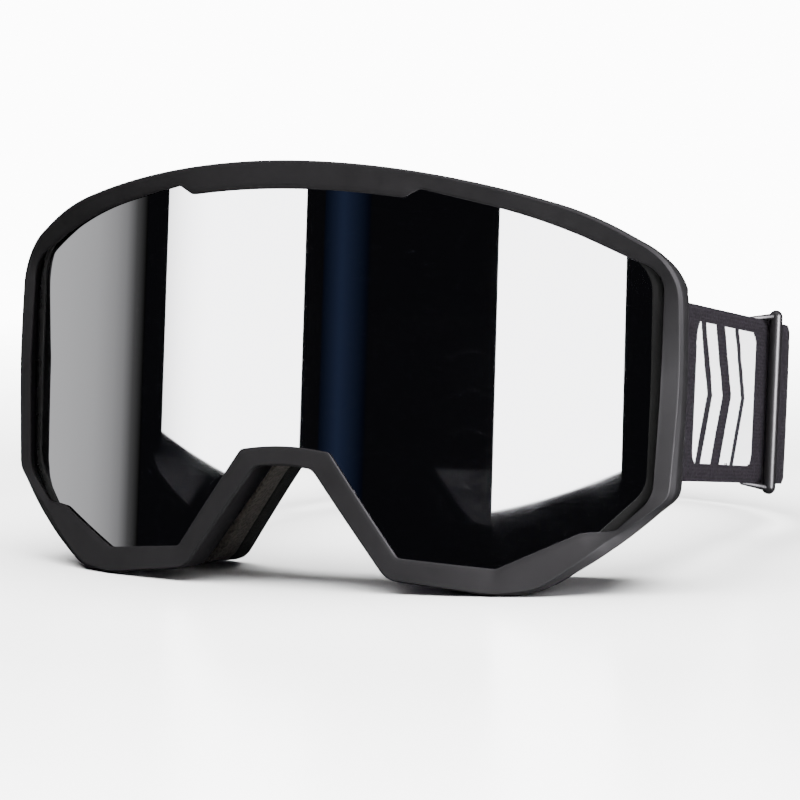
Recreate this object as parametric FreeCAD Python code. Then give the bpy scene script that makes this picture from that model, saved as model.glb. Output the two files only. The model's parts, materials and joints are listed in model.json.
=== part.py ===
import FreeCAD, Part
import math
import os

# Ski goggles with a cylindrical double lens, face foam and an elastic head strap.
# Millimetres. X runs across the face (+X is the wearer's left), the lens looks along -Y, +Z is up.
# Everything is drawn with the lens cylinder upright, then leaned back onto the frame's lower lobes.

# ---- driving dimensions -------------------------------------------------------------------
LEAN = 4.1              # degrees that the standing goggles lean back
FOOT_FLAT = 0.35        # depth of the two small flats that the frame stands on

# half outlines in the XZ plane: (x, z, corner radius), from the top centre round to the bottom centre
OUTER = [(0, 52.85, 221), (68.2, 33.9, 60), (86.6, 22.8, 16), (87.6, -3, 300), (86.4, -30.8, 6),
         (74.5, -43.6, 90), (59.5, -53.4, 14), (50, -54.3, 40), (26.1, -51.7, 6), (7.2, -26.9, 3),
         (0, -26.3, 40)]
OPENING = [(0, 38.9, 230), (27.4, 36.3, 1.2), (31.2, 38.4, 1.5), (58, 32.4, 110), (82.8, 20.8, 7),
           (83.1, -4, 300), (82.0, -31.0, 8), (74.5, -38.6, 2.5), (67.4, -39.4, 3), (50.2, -48.2, 1.5),
           (28.5, -46.5, 1.5), (11.5, -22.9, 2), (0, -21.2, 60)]
MIRROR = [(0, 39.9, 200), (27, 39.4, 50), (58, 33.3, 100), (79.9, 22.3, 10), (80.2, -4, 300),
          (79.9, -29.2, 9), (69.6, -40.6, 12), (50, -49.8, 3), (28.2, -47.7, 2), (11.2, -24.1, 2.5),
          (0, -22.4, 60)]
BODY = [(0, 48.9, 221), (62, 31.8, 50), (76.0, 20, 12), (76.6, -4, 250), (75.0, -30, 8), (62, -46, 20),
        (53, -50.9, 12), (28.6, -48.8, 6), (9.6, -24.0, 5), (0, -23.3, 30)]
FOAM = [(0, 48.9, 221), (60, 32.3, 45), (71.4, 19, 13), (72.0, -4, 250), (70.3, -29, 10), (60, -45.5, 20),
        (52, -51.75, 12), (28.3, -51.45, 6), (11.3, -26.8, 5), (0, -25.9, 30)]
EYE = [(0, 33.5, 200), (54, 23.5, 20), (63, -2, 60), (58, -30, 13), (44, -40.5, 9), (31.5, -39.5, 6),
       (13.5, -13.5, 7), (0, -11, 30)]

# depths: the apex of each upright cylinder behind the foremost point of the frame, and its radius
FRAME_FRONT = (0.0, 150.4)
FRAME_REAR = (10.5, 150.4)
FRAME_STEP = (4.4, 150.4)   # where the frame's outside steps in behind its front edge
LENS_AXIS_Y = 135.6     # the lens stack is concentric about this axis
RIM_APEX = 1.1
LENS_APEX = 1.6
LENS_THICKNESS = 1.6
SPACER_THICKNESS = 4.0
INNER_LENS_THICKNESS = 1.0
CLEAR = 0.3             # gap between curved faces that aren't bonded
BODY_REAR = (19.0, 140.0)
BASE_REAR = (28.0, 128.0)
SOFT_REAR = (36.0, 120.0)
FLEECE_REAR = (38.0, 118.6)

# insets of the outer outline, one for each of its edges
REAR_INSET = [0.8, 1.5, 0.4, 0.4, 2.0, 1.8, 0, 0, 0.8, 0.8]
LENS_INSET = [3, 3, 3.4, 3.4, 3, 3, 3, 3, 2.8, 2.6]
FLANGE_INSET = [3.2, 3.2, 3.7, 3.7, 3.3, 3.2, 3.2, 3.2, 3.1, 3.0]
RIM_INSET = 0.2         # insets of the lens outline
INNER_LENS_INSET = 0.5
SPACER_INSET = 0.8
SPACER_INNER_INSET = 5.0
SIDE_TAPER = 26.5       # degrees that the frame's sides turn in behind SIDE_TAPER_FROM
SIDE_TAPER_FROM = (87.4, 32.5)
FLEECE_EDGE = 1.2       # how far the fleece's edge stops short of the foam's
BODY_WALL = 2.0
BODY_FLANGE = 1.8
VENT_FOAM = 3.0
TOP_VENTS = (-49, -30, -10, 10, 30, 49)     # x of each slot's middle
TOP_VENT_LENGTH = 14.0
TOP_VENT_REACH = (22, 60)       # heights that the slots' cutters span
LOW_VENTS = (-48, -37, 37, 48)
LOW_VENT_LENGTH = 7.0
LOW_VENT_REACH = (-60, -42)
VENT_APEX = 13.5                # depth of a slot's front at x = 0
VENT_HEIGHT = 3.5
TOP_FOAM_HALF = 62.0            # the top vent foam's reach to either side
TOP_FOAM_LOW = 20.0
LOW_FOAM_SPAN = (28.0, 60.0)
LOW_FOAM_HIGH = -38.0
BOND = 0.1                      # gap between parts that are glued in

STRAP_WIDTH = 42.0
STRAP_THICKNESS = 1.5
STRAP_STRAIGHT = 115.0  # straight run from pin to the back curve
STRAP_INWARD = 7.45     # degrees that each side run turns inward
STRAP_TILT = 2.15       # degrees that the strap droops beyond the frame's lean
STRAP_PIN = (78.3, 46.0, -6.5)
PIN_RADIUS = 1.25
PIN_LENGTH = 49.0
LUG_THICKNESS = 2.4
LUG_REACH = 5.9         # from the pin to the bracket's inner face
PIN_CLEAR = 0.25        # between the pin and the strap's loop
PIN_FIT = 0.02          # between the pin and its holes
LUG_FRONT = 5.5         # from the pin to the bracket's front
LUG_REAR = 1.8
LUG_OUTER = 1.7
LUG_GAP = 1.0           # between the strap's edge and a lug
BRACKET_PLATE = 1.6
GRIP_COUNT = 3
GRIP_PITCH = 11.0
GRIP_WIDTH = 2.4
GRIP_HEIGHT = 0.5
GRIP_HALF = 48.0        # reach of the grip lines to either side
SLIDER_AT = 93.0        # from pin to the slider's middle bar
SLIDER_HEIGHT = 47.4
SLIDER_HALF = 6.6       # half the distance between the two side bars
BAR_RADIUS = 1.75
SIDE_BAR_RADIUS = 1.2
SLIDER_GAP = 0.4        # between the strap's edge and the slider's end plates
SLIDER_END = 1.7        # from the strap's edge to the slider's outer faces
TAIL_GAP = 0.4          # between the tail's free end and the side bar, and round the pin
TAIL_NARROWER = 1.0
SEAM_PITCH = 3.0
SEAM_BEFORE_BAR = 6.0
TACK = (2.4, 0.35, 0.6)     # length, height and width of one bar tack

V = FreeCAD.Vector
BIG = 400.0


# ---- outlines -----------------------------------------------------------------------------
def mirrored(half):
    """The whole outline: the given half, then its mirror image back to the start."""
    return half + [(-x, z, r) for x, z, r in half[-2:0:-1]]


def inset(half, gaps):
    """Move each edge of a half outline inward by its own gap, and keep the corners where they meet."""
    edges = []
    for (x0, z0, _), (x1, z1, _), gap in zip(half, half[1:], gaps):
        length = math.hypot(x1 - x0, z1 - z0)
        nx, nz = (z1 - z0) / length, -(x1 - x0) / length
        edges.append((x0 + nx * gap, z0 + nz * gap, x1 - x0, z1 - z0))
    corners = [(0.0, on_axis(edges[0]), half[0][2])]
    for first, second, corner, gap in zip(edges, edges[1:], half[1:], gaps):
        cross = first[2] * second[3] - first[3] * second[2]
        t = ((second[0] - first[0]) * second[3] - (second[1] - first[1]) * second[2]) / cross
        radius = corner[2] - gap if cross < 0 else corner[2] + gap
        corners.append((first[0] + t * first[2], first[1] + t * first[3], max(radius, 0.6)))
    corners.append((0.0, on_axis(edges[-1]), half[-1][2]))
    return corners


def on_axis(edge):
    """Height at which an edge's line crosses x = 0."""
    return edge[1] - edge[0] * edge[3] / edge[2]


def outline_face(half):
    """A planar face at y = -BIG/2 whose corners are rounded with tangent arcs."""
    points = mirrored(half)
    count = len(points)
    spots = [V(x, 0, z) for x, z, _ in points]
    runs = [spots[(i + 1) % count] - spots[i] for i in range(count)]
    slopes = [math.tan(runs[i - 1].getAngle(runs[i]) / 2) for i in range(count)]
    reaches = [max(point[2] * slope, 1e-3) for point, slope in zip(points, slopes)]
    # a corner gives way where its arc and its neighbour's would overlap
    share = [min(1, 0.98 * runs[i].Length / (reaches[i] + reaches[(i + 1) % count])) for i in range(count)]
    reaches = [reaches[i] * min(share[i - 1], share[i]) for i in range(count)]
    edges, ends = [], []
    for i, corner in enumerate(spots):
        back, ahead = V(runs[i - 1]).normalize() * -1, V(runs[i]).normalize()
        radius = reaches[i] / slopes[i]
        bulge = math.hypot(radius, reaches[i]) - radius
        ends.append((corner + back * reaches[i], corner + (back + ahead).normalize() * bulge,
                     corner + ahead * reaches[i]))
    for i, (start, middle, end) in enumerate(ends):
        edges.append(Part.Arc(start, middle, end).toShape())
        following = ends[(i + 1) % count][0]
        if (following - end).Length > 1e-4:
            edges.append(Part.LineSegment(end, following).toShape())
    face = Part.Face(Part.Wire(Part.__sortEdges__(edges)))
    face.translate(V(0, -BIG / 2, 0))
    return face


def prism(half):
    return outline_face(half).extrude(V(0, BIG, 0))


def column(apex, radius):
    """The upright cylinder whose foremost line is at y = apex."""
    return Part.makeCylinder(radius, 200, V(0, apex + radius, -100))


def between(front, rear):
    """The space behind the front cylinder and before the rear one, for x where both exist."""
    return column(*front).cut(column(*rear))


def lens_surface(apex):
    return apex, LENS_AXIS_Y - apex


def slab(shape, front, rear):
    """The part of a prism between two surfaces, on the lens side only."""
    front_half = Part.makeBox(2 * BIG, BIG + 100, 2 * BIG, V(-BIG, -BIG, -BIG))
    return shape.common(between(front, rear)).common(front_half)


def side_box(x0, x1, y0, y1, z0, z1):
    return Part.makeBox(x1 - x0, y1 - y0, z1 - z0, V(x0, y0, z0))


def mirror_x(shape):
    return shape.mirror(V(0, 0, 0), V(1, 0, 0))


# ---- frame and lenses ---------------------------------------------------------------------
lens_outline = inset(OUTER, LENS_INSET)
fleece_outline = inset(FOAM, [FLEECE_EDGE] * 9)
lens_rear = LENS_APEX + LENS_THICKNESS
spacer_rear = lens_rear + SPACER_THICKNESS
stack_rear = spacer_rear + INNER_LENS_THICKNESS


def side_cutters():
    """What lies outside the planes that turn the frame's two sides in."""
    block = side_box(0, BIG, -BIG, BIG, -BIG, BIG)
    block.rotate(V(0, 0, 0), V(0, 0, 1), SIDE_TAPER)
    block.translate(V(SIDE_TAPER_FROM[0], SIDE_TAPER_FROM[1], 0))
    return Part.makeCompound([block, mirror_x(block)])


def make_outer_frame():
    front = slab(prism(OUTER), FRAME_FRONT, FRAME_STEP)
    rear = slab(prism(inset(OUTER, REAR_INSET)), FRAME_STEP, FRAME_REAR)
    ring = front.fuse(rear).removeSplitter().cut(prism(OPENING)).cut(side_cutters())
    pocket_outline = inset(OUTER, [gap - CLEAR for gap in LENS_INSET])
    pocket = prism(pocket_outline).common(column(*lens_surface(RIM_APEX - CLEAR)))
    return ring.cut(pocket)


def make_lens_rim():
    ring = prism(inset(lens_outline, [RIM_INSET] * 10)).cut(prism(MIRROR))
    return slab(ring, lens_surface(RIM_APEX), lens_surface(LENS_APEX))


def make_outer_lens():
    return slab(prism(lens_outline), lens_surface(LENS_APEX), lens_surface(lens_rear))


def make_spacer():
    outside = prism(inset(lens_outline, [SPACER_INSET] * 10))
    ring = outside.cut(prism(inset(lens_outline, [SPACER_INNER_INSET] * 10)))
    return slab(ring, lens_surface(lens_rear), lens_surface(spacer_rear))


def make_inner_lens():
    pane = prism(inset(lens_outline, [INNER_LENS_INSET] * 10))
    return slab(pane, lens_surface(spacer_rear), lens_surface(stack_rear))


def vent_slots():
    """Cutters for the vent slots through the top wall and under both lobes."""
    cutters = []
    for places, length, low, high in ((TOP_VENTS, TOP_VENT_LENGTH, *TOP_VENT_REACH),
                                      (LOW_VENTS, LOW_VENT_LENGTH, *LOW_VENT_REACH)):
        for x in places:
            y = VENT_APEX + x * x / 2 / BODY_REAR[1]
            cutters.append(side_box(x - length / 2, x + length / 2, y, y + VENT_HEIGHT, low, high))
    return Part.makeCompound(cutters)


def make_inner_frame():
    """Channel ring: a front flange behind the lenses, an outer wall with vents and a foam seat."""
    front = lens_surface(stack_rear + BOND)
    channel_front = lens_surface(stack_rear + BOND + BODY_FLANGE)
    channel_rear = (BODY_REAR[0] - BODY_FLANGE, BODY_REAR[1])
    flange = slab(prism(inset(OUTER, FLANGE_INSET)).cut(prism(EYE)), front, channel_front)
    ring = slab(prism(BODY).cut(prism(EYE)), channel_front, BODY_REAR)
    channel = slab(prism(inset(BODY, [BODY_WALL] * 9)), channel_front, channel_rear)
    return flange.fuse(ring.cut(channel)).removeSplitter().cut(vent_slots())


def make_vent_foam(x0, x1, z0, z1):
    """The strip of foam in the body's channel, within the given spans of x and z."""
    outside = inset(BODY, [BODY_WALL + BOND] * 9)
    inside = inset(BODY, [BODY_WALL + BOND + VENT_FOAM] * 9)
    front = lens_surface(stack_rear + CLEAR + BODY_FLANGE)
    rear = (BODY_REAR[0] - BODY_FLANGE - 2 * BOND, BODY_REAR[1])
    strip = slab(prism(outside).cut(prism(inside)), front, rear)
    return strip.common(side_box(x0, x1, -BIG, BIG, z0, z1))


def face_ring(outline, margin, front, rear):
    return slab(prism(outline).cut(prism(inset(EYE, [margin] * 7))), front, rear)


# ---- strap --------------------------------------------------------------------------------
# The strap is drawn in plan about the right pin, extruded to its width, drooped and mirrored.
inward = math.radians(STRAP_INWARD)
along = V(-math.sin(inward), math.cos(inward), 0)
outward = V(math.cos(inward), math.sin(inward), 0)
pin_centre = V(STRAP_PIN[0], STRAP_PIN[1], 0)
run_offset = PIN_RADIUS + PIN_CLEAR + STRAP_THICKNESS / 2


def plan(s, off):
    """The plan point at a distance s behind the pin and off to the outside of its centre line."""
    return pin_centre + along * s + outward * off


def back_arc(off):
    """Three points of the right half of the strap's back curve."""
    start = plan(STRAP_STRAIGHT, off)
    centre_y = start.y - start.x * math.tan(inward)
    radius = start.x / math.cos(inward)
    turn = (inward + math.pi / 2) / 2
    middle = V(radius * math.cos(turn), centre_y + radius * math.sin(turn), 0)
    return start, middle, V(0, centre_y + radius, 0)


def strap_profile(inner, outer, wrap):
    """Plan face of the band between two offsets; wrap closes its ends round the pins."""
    def half(off):
        start, middle, end = back_arc(off)
        return plan(0, off), start, middle, end
    o0, o1, o2, o3 = half(outer)
    i0, i1, i2, i3 = half(inner)
    flip = lambda p: V(-p.x, p.y, p.z)
    edges = [Part.LineSegment(o0, o1), Part.Arc(o1, o3, flip(o1)), Part.LineSegment(flip(o1), flip(o0)),
             Part.LineSegment(i0, i1), Part.Arc(i1, i3, flip(i1)), Part.LineSegment(flip(i1), flip(i0))]
    if wrap:
        front_out, front_in = plan(-outer, 0), plan(-inner, 0)
        b_out, b_in = plan(0, -outer), plan(0, -inner)
        edges += [Part.Arc(o0, front_out, b_out), Part.Arc(i0, front_in, b_in), Part.LineSegment(b_out, b_in),
                  Part.Arc(flip(o0), flip(front_out), flip(b_out)),
                  Part.Arc(flip(i0), flip(front_in), flip(b_in)),
                  Part.LineSegment(flip(b_out), flip(b_in))]
    else:
        edges += [Part.LineSegment(o0, i0), Part.LineSegment(flip(o0), flip(i0))]
    return Part.Face(Part.Wire(Part.__sortEdges__([e.toShape() for e in edges])))


def upright(face, height, z=0.0):
    """Extrude a plan face to a height centred on z, in the strap's own frame."""
    solid = face.extrude(V(0, 0, height))
    solid.translate(V(0, 0, z - height / 2))
    return solid


def plan_quad(s0, s1, off0, off1):
    corners = [plan(s0, off0), plan(s1, off0), plan(s1, off1), plan(s0, off1), plan(s0, off0)]
    return Part.Face(Part.makePolygon(corners))


def rod(s, off, radius, length, z=0.0):
    foot = plan(s, off) + V(0, 0, z - length / 2)
    return Part.makeCylinder(radius, length, foot)


def make_band():
    inner, outer = run_offset - STRAP_THICKNESS / 2, run_offset + STRAP_THICKNESS / 2
    return upright(strap_profile(inner, outer, True), STRAP_WIDTH)


def make_grip_lines():
    """Raised silicone lines on the inner side of the back curve."""
    inner = run_offset - STRAP_THICKNESS / 2
    start, _, end = back_arc(inner)
    radius = start.x / math.cos(inward)
    centre = V(0, end.y - radius, 0)
    lines = []
    for i in range(GRIP_COUNT):
        foot = centre + V(0, 0, (i - (GRIP_COUNT - 1) / 2) * GRIP_PITCH - GRIP_WIDTH / 2)
        tube = Part.makeCylinder(radius, GRIP_WIDTH, foot)
        tube = tube.cut(Part.makeCylinder(radius - GRIP_HEIGHT, GRIP_WIDTH, foot))
        lines.append(tube.common(side_box(-GRIP_HALF, GRIP_HALF, centre.y, centre.y + BIG, -BIG, BIG)))
    return Part.makeCompound(lines)


def make_tail():
    """Inner return run from the pin back to the slider's front side bar."""
    end = SLIDER_AT - SLIDER_HALF - SIDE_BAR_RADIUS - TAIL_GAP
    inner, outer = -run_offset - STRAP_THICKNESS / 2, -run_offset + STRAP_THICKNESS / 2
    return upright(plan_quad(TAIL_GAP, end, inner, outer), STRAP_WIDTH - TAIL_NARROWER)


def make_slider():
    """One moulded ladder: a proud middle bar outside the band and two side bars inside it."""
    bar_off = run_offset + STRAP_THICKNESS / 2 + CLEAR + BAR_RADIUS
    side_off = run_offset - STRAP_THICKNESS / 2 - CLEAR - SIDE_BAR_RADIUS
    bar = rod(SLIDER_AT, bar_off, BAR_RADIUS, SLIDER_HEIGHT - 2 * BAR_RADIUS)
    parts = [bar]
    for end in (-1, 1):
        tip = plan(SLIDER_AT, bar_off) + V(0, 0, end * (SLIDER_HEIGHT / 2 - BAR_RADIUS))
        parts.append(Part.makeSphere(BAR_RADIUS, tip))
    side_length = STRAP_WIDTH + 2 * SLIDER_END
    for side in (-1, 1):
        parts.append(rod(SLIDER_AT + side * SLIDER_HALF, side_off, SIDE_BAR_RADIUS, side_length))
    for end in (-1, 1):
        low = min(end * (STRAP_WIDTH / 2 + SLIDER_GAP), end * side_length / 2)
        height = SLIDER_END - SLIDER_GAP
        reach = SLIDER_HALF + SIDE_BAR_RADIUS
        corners = [plan(SLIDER_AT - reach, side_off - SIDE_BAR_RADIUS),
                   plan(SLIDER_AT + reach, side_off - SIDE_BAR_RADIUS),
                   plan(SLIDER_AT + reach, side_off + SIDE_BAR_RADIUS),
                   plan(SLIDER_AT + BAR_RADIUS, bar_off), plan(SLIDER_AT - BAR_RADIUS, bar_off),
                   plan(SLIDER_AT - reach, side_off + SIDE_BAR_RADIUS)]
        plate = Part.Face(Part.makePolygon(corners + corners[:1])).extrude(V(0, 0, height))
        plate.translate(V(0, 0, low))
        parts.append(plate)
    solid = parts[0]
    for piece in parts[1:]:
        solid = solid.fuse(piece)
    return solid.removeSplitter()


def make_seam():
    """Bar tacks across the tail's end, on its inner face."""
    length, height, width = TACK
    at = SLIDER_AT - SLIDER_HALF - SEAM_BEFORE_BAR
    off = -run_offset - STRAP_THICKNESS / 2
    gaps = int(STRAP_WIDTH / SEAM_PITCH) - 2
    tacks = []
    for i in range(gaps + 1):
        z = (i - gaps / 2) * SEAM_PITCH
        tacks.append(upright(plan_quad(at - length / 2, at + length / 2, off - height, off), width, z))
    return Part.makeCompound(tacks)


def make_anchor():
    """Bracket that carries the pin: two lugs above and below the strap and a plate to the frame."""
    half_gap = STRAP_WIDTH / 2 + LUG_GAP
    top = half_gap + LUG_THICKNESS
    inner_x = STRAP_PIN[0] - LUG_REACH
    front_y, rear_y = STRAP_PIN[1] - LUG_FRONT, STRAP_PIN[1] + LUG_REAR
    solid = side_box(inner_x, inner_x + BRACKET_PLATE, front_y, rear_y, -top, top)
    for low in (half_gap, -top):
        lug = side_box(inner_x, STRAP_PIN[0] + LUG_OUTER, front_y, rear_y, low, low + LUG_THICKNESS)
        solid = solid.fuse(lug)
    return solid.removeSplitter().cut(rod(0, 0, PIN_RADIUS + PIN_FIT, BIG))


def make_pin():
    return rod(0, 0, PIN_RADIUS, PIN_LENGTH)


# ---- placing and export -------------------------------------------------------------------
def droop(shape):
    """From the strap's own frame to the goggles': up to the pin's height, then tilted about it."""
    shape.translate(V(0, 0, STRAP_PIN[2]))
    shape.rotate(V(0, STRAP_PIN[1], STRAP_PIN[2]), V(1, 0, 0), -STRAP_TILT)
    return shape


nodes = {
    "outer_frame": make_outer_frame(),
    "lens_rim": make_lens_rim(),
    "outer_lens": make_outer_lens(),
    "lens_spacer_foam": make_spacer(),
    "inner_lens": make_inner_lens(),
    "inner_frame": make_inner_frame(),
    "top_vent_foam": make_vent_foam(-TOP_FOAM_HALF, TOP_FOAM_HALF, TOP_FOAM_LOW, BIG),
    "bottom_vent_foam_left": make_vent_foam(*LOW_FOAM_SPAN, -BIG, LOW_FOAM_HIGH),
    "face_foam_base": face_ring(FOAM, 0, BODY_REAR, BASE_REAR),
    "face_foam_soft": face_ring(FOAM, 0, BASE_REAR, SOFT_REAR),
    "face_fleece": face_ring(fleece_outline, -FLEECE_EDGE, SOFT_REAR, FLEECE_REAR),
    "strap_band": droop(make_band()),
    "strap_grip_lines": droop(make_grip_lines()),
}
for make, name in ((make_anchor, "strap_anchor"), (make_pin, "strap_pin"), (make_tail, "strap_tail"),
                   (make_slider, "strap_slider"), (make_seam, "tail_seam")):
    left = droop(make())
    nodes[name + "_left"] = left
    nodes[name + "_right"] = mirror_x(left)

nodes["bottom_vent_foam_right"] = mirror_x(nodes["bottom_vent_foam_left"])
anchor_room = Part.makeCompound([nodes["strap_anchor_left"], nodes["strap_anchor_right"]])
nodes["inner_frame"] = nodes["inner_frame"].cut(anchor_room)

for shape in nodes.values():
    shape.rotate(V(0, 0, 0), V(1, 0, 0), -LEAN)
frame_box = nodes["outer_frame"].optimalBoundingBox()
ground = frame_box.ZMin + FOOT_FLAT
below = side_box(-BIG, BIG, -BIG, BIG, ground - 50, ground)
nodes["outer_frame"] = nodes["outer_frame"].cut(below)
boxes = [shape.optimalBoundingBox() for shape in nodes.values()]
middle_y = (min(b.YMin for b in boxes) + max(b.YMax for b in boxes)) / 2

os.makedirs("parts", exist_ok=True)
for name, shape in nodes.items():
    shape.translate(V(0, -middle_y, -ground))
    shape.exportStep("parts/%s.step" % name)
    box = shape.optimalBoundingBox()
    print("%-24s %d solids %9.1f mm3 valid %s  x %.1f %.1f y %.1f %.1f z %.1f %.1f" % (
        name, len(shape.Solids), shape.Volume, shape.isValid(), box.XMin, box.XMax, box.YMin, box.YMax,
        box.ZMin, box.ZMax))
print("shift", -middle_y, -ground)
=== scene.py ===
import json
import math

import bmesh
import bpy
import numpy as np
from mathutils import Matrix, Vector, geometry


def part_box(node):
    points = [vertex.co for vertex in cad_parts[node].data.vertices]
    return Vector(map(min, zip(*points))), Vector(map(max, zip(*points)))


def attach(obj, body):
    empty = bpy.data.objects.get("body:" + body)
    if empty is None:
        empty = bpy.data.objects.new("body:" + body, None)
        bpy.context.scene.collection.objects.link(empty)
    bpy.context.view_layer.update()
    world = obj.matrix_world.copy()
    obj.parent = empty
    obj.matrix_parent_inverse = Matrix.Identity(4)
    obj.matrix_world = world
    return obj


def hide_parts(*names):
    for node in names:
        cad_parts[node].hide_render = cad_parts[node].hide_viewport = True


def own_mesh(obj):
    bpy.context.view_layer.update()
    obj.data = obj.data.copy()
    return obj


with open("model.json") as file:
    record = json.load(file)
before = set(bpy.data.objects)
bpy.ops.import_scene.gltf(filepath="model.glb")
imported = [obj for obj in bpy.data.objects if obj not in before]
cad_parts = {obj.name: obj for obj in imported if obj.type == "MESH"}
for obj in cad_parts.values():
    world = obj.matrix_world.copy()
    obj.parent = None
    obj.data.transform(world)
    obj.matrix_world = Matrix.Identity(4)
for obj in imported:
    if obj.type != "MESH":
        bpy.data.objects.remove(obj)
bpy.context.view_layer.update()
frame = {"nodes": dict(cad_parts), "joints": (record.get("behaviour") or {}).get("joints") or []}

# Ski goggles: the looks. Lengths below are millimetres in the upright frame, where the lens
# cylinder stands vertical, X runs across the face, Y goes back from the lens and Z is up.
# upright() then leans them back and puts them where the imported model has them, in metres.

# ---- driving sizes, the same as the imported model's
MM = 0.001
LEAN = math.radians(4.1)
FRAME_FRONT = (0.0, 150.4)  # apex depth and radius of an upright cylinder
FRAME_REAR = (10.5, 150.4)
LENS_AXIS = 135.6
LENS_APEX = 1.6
LENS_THICKNESS = 1.6
SPACER_THICKNESS = 4.0
INNER_LENS_THICKNESS = 1.0
BODY_FLANGE = 1.8
BODY_WALL = 2.0
VENT_FOAM = 3.0
BODY_REAR = (19.0, 140.0)
BASE_REAR = (28.0, 128.0)
SOFT_REAR = (36.0, 120.0)
FLEECE_REAR = (38.0, 118.6)
CLEAR = 0.3
BOND = 0.1  # gap between parts that are glued in
RIM_INSET = 0.2  # from the lens's edge to the rim's
SPACER_INSET = (0.8, 5.0)  # from the lens's edge to the spacer's two edges
INNER_LENS_INSET = 0.5
SIDE_TAPER = math.radians(26.5)
SIDE_TAPER_FROM = (87.4, 32.5)

# half outlines: (x, z, corner radius), from the top centre round to the bottom centre
OUTER = [(0, 52.85, 221), (68.2, 33.9, 60), (86.6, 22.8, 16), (87.6, -3, 300), (86.4, -30.8, 6),
         (74.5, -43.6, 90), (59.5, -53.4, 14), (50, -54.3, 40), (26.1, -51.7, 6), (7.2, -26.9, 3),
         (0, -26.3, 40)]
OPENING = [(0, 38.9, 230), (27.4, 36.3, 1.2), (31.2, 38.4, 1.5), (58, 32.4, 110), (82.8, 20.8, 7),
           (83.1, -4, 300), (82.0, -31.0, 8), (74.5, -38.6, 2.5), (67.4, -39.4, 3), (50.2, -48.2, 1.5),
           (28.5, -46.5, 1.5), (11.5, -22.9, 2), (0, -21.2, 60)]
MIRROR = [(0, 39.9, 200), (27, 39.4, 50), (58, 33.3, 100), (79.9, 22.3, 10), (80.2, -4, 300),
          (79.9, -29.2, 9), (69.6, -40.6, 12), (50, -49.8, 3), (28.2, -47.7, 2), (11.2, -24.1, 2.5),
          (0, -22.4, 60)]
BODY = [(0, 48.9, 221), (62, 31.8, 50), (76.0, 20, 12), (76.6, -4, 250), (75.0, -30, 8), (62, -46, 20),
        (53, -50.9, 12), (28.6, -48.8, 6), (9.6, -24.0, 5), (0, -23.3, 30)]
FOAM = [(0, 48.9, 221), (60, 32.3, 45), (71.4, 19, 13), (72.0, -4, 250), (70.3, -29, 10), (60, -45.5, 20),
        (52, -51.75, 12), (28.3, -51.45, 6), (11.3, -26.8, 5), (0, -25.9, 30)]
EYE = [(0, 33.5, 200), (54, 23.5, 20), (63, -2, 60), (58, -30, 13), (44, -40.5, 9), (31.5, -39.5, 6),
       (13.5, -13.5, 7), (0, -11, 30)]
LENS_INSET = [3, 3, 3.4, 3.4, 3, 3, 3, 3, 2.8, 2.6]
# which corners of two or three outlines lie across from each other
FRAME_PAIRS = [(0, 0), (1, 3.33), (2, 4), (3, 5), (4, 6), (5, 7.4), (6, 8.56), (7, 9), (8, 10), (9, 11),
               (10, 12)]
MIRROR_PAIRS = [(0, 0), (1, 2), (2, 3), (3, 4), (4, 5), (5, 6), (7, 7), (8, 8), (9, 9), (10, 10)]
FOAM_PAIRS = [(0, 0), (1.5, 1), (3, 2), (4, 3), (5.5, 4), (7, 5), (8, 6), (9, 7)]

# ---- sizes that only the looks have
LENS_PROUD = 0.6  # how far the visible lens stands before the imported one
RIM_PROUD = 0.25  # how far the visible rim stands before the visible lens
MIRROR_FRONT = LENS_APEX - LENS_PROUD
RIM_FRONT = MIRROR_FRONT - RIM_PROUD
LIP_EDGE = 0.3  # thickness of the frame's lip at the opening
LIP_UNDERCUT = 1.5  # how far the lip's underside reaches out from the opening
LIP_GAP = 0.15  # between the lip's underside and the rim
# where the frame's section has points, as shares of its face, bevel and wall
FACE_STEPS = (0.25, 0.5, 0.75)
BEVEL_STEPS = (0.04, 0.1, 0.3, 0.7, 0.92, 1.0)
WALL_STEPS = (0.0, 0.12, 0.5, 0.95)
# the frame's outside at each corner of OUTER: width and depth of the bevel, depth where the wall
# starts to turn in, how far it has turned in at the rear, and how far the face sinks to the lens
EDGE = [(0.4, 0.6, 2.0, 0.8, 1.0), (0.5, 0.9, 2.4, 1.5, 1.0), (0.6, 1.2, 3.6, 1.6, 0.6),
        (0.4, 1.2, 4.4, 1.6, 0.25), (0.8, 1.6, 3.8, 1.8, 0.35), (2.1, 1.6, 2.4, 2.0, 1.0),
        (0.9, 0.9, 1.8, 0.8, 1.0), (0.4, 0.6, 2.0, 0.0, 1.0), (0.4, 0.6, 2.0, 0.3, 1.0),
        (0.4, 0.6, 2.0, 0.8, 1.0), (0.4, 0.6, 2.0, 0.8, 1.0)]
PAD_WIDTH = 12.0  # nominal width of the face foams' cross-section
# radii of the foams' edges: outer front, inner front, inner rear and outer rear
BASE_EDGES = (0.5, 0.5, 0.9, 0.9)
SOFT_EDGES = (1.2, 1.2, 1.6, 1.6)
FLEECE_EDGES = (0.4, 0.4, 0.95, 0.95)
FLEECE_INSET = 1.2
FLEECE_SPACING = 1.3
WAVE = 0.22  # height of the strap's faint wave

# ---- the strap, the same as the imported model's
STRAP_WIDTH = 42.0
STRAP_THICKNESS = 1.5
STRAP_STRAIGHT = 115.0
INWARD = math.radians(7.45)
DROOP = math.radians(2.15)
PIN = (78.3, 46.0, -6.5)
BAND_OFF = 2.25  # from the pin's line to the middle of the band
SLIDER_AT = 93.0
SLIDER_HEIGHT = 47.4
SLIDER_HALF = 6.6
BAR_RADIUS = 1.75
SIDE_BAR_RADIUS = 1.2
GRIP_COUNT = 3
GRIP_PITCH = 11.0
TRAVEL = frame["joints"][0]["range_m"][1] / MM
SIDES = (("left", 1), ("right", -1))


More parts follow.
